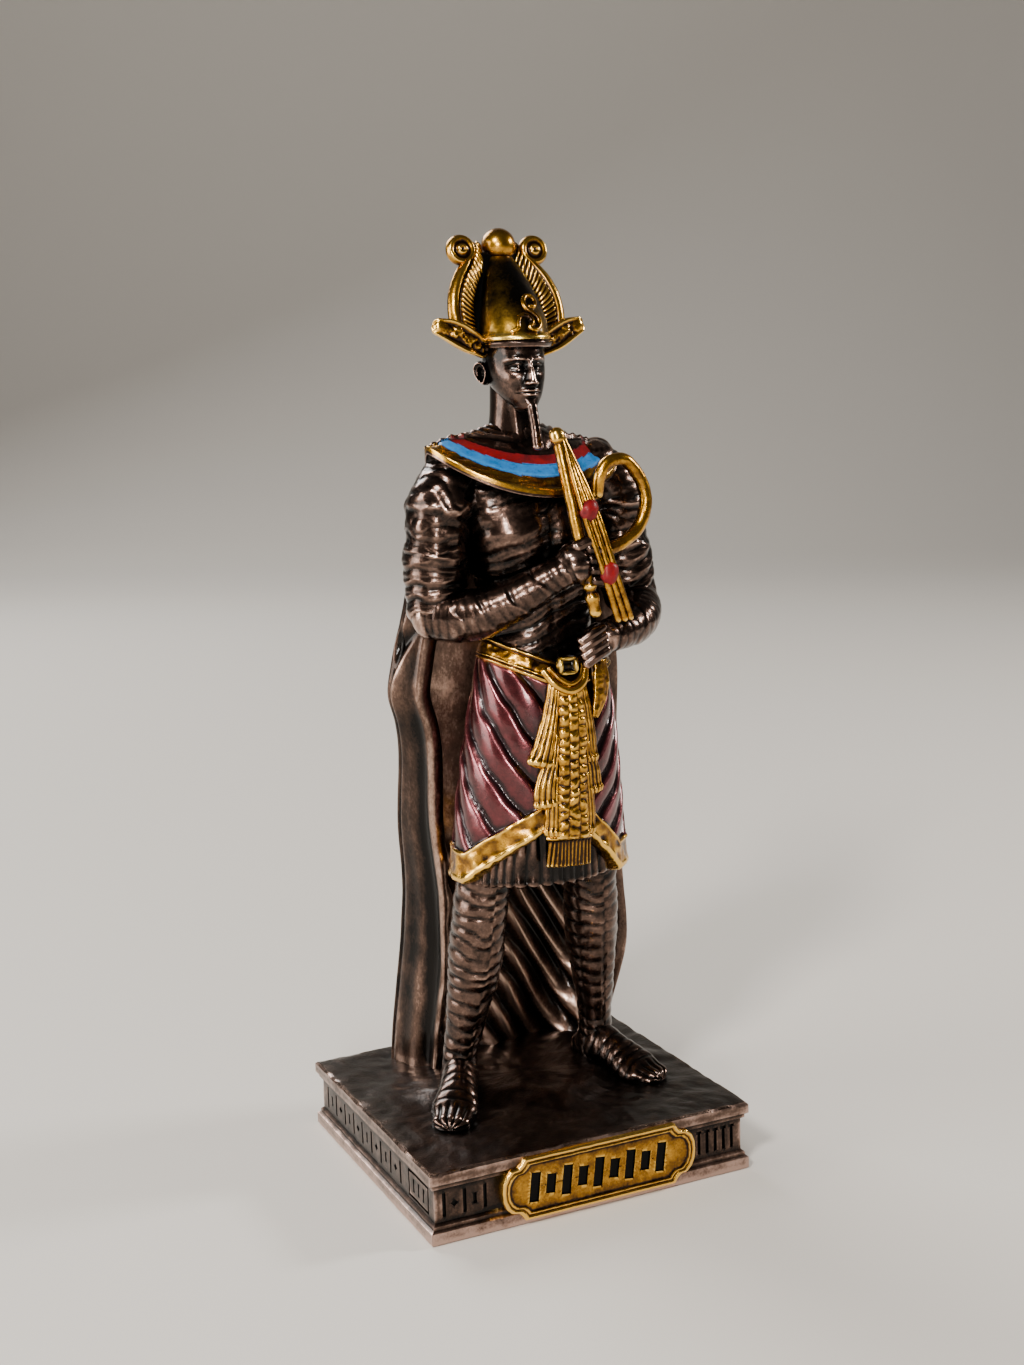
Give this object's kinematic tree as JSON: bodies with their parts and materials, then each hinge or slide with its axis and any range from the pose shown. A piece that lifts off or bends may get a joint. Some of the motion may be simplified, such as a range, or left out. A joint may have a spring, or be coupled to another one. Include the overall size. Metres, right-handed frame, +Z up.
{
  "type": "osiris figurine",
  "caption": "Small painted cold-cast figurine of a standing crowned Egyptian god with cloak, kilt, crook and flail, in one piece with its moulded plinth.",
  "frame": {"origin": "middle of the plinth's underside, on the surface the figurine stands on", "axes": "+Z up to the crown, the figure faces -Y, +X to the figure's left"},
  "size_m": [0.034, 0.032, 0.0918],
  "materials": {
    "cold_cast_bronze": "resin cast with bronze powder, dark patina with burnished copper highs; gold, maroon, blue and red painted parts"
  },
  "bodies": {
    "root": {"osiris_figurine": "cold_cast_bronze"}
  },
  "joints": []
}
